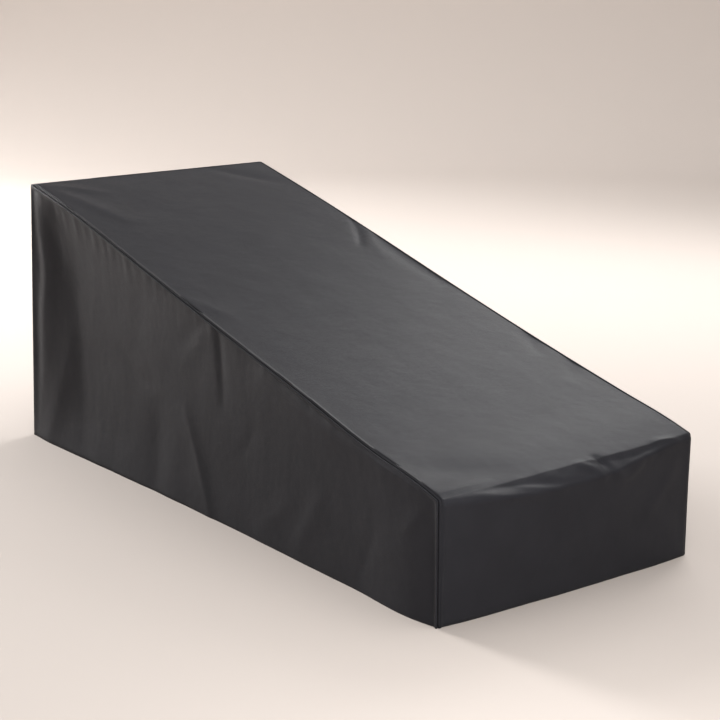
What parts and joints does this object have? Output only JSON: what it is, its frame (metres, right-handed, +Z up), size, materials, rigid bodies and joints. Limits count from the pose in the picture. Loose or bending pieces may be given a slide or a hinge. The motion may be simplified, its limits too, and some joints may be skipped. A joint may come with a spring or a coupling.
{
  "type": "lounge chair cover",
  "caption": "Wedge-shaped fitted cover for a chaise lounge, sewn from coated cloth panels, hollow inside and open at the hem.",
  "frame": {"origin": "on the floor, under the middle of the cover", "axes": "+Z up, +Y towards the high head end, +X towards the right side as seen from the foot end"},
  "size_m": [0.8911, 2.0436, 0.8166],
  "materials": {
    "cover_cloth": "dark charcoal coated woven polyester, matte with a faint sheen"
  },
  "bodies": {
    "root": {"top_front_panel": "cover_cloth", "side_panel_left": "cover_cloth", "side_panel_right": "cover_cloth", "back_panel": "cover_cloth"}
  },
  "joints": []
}
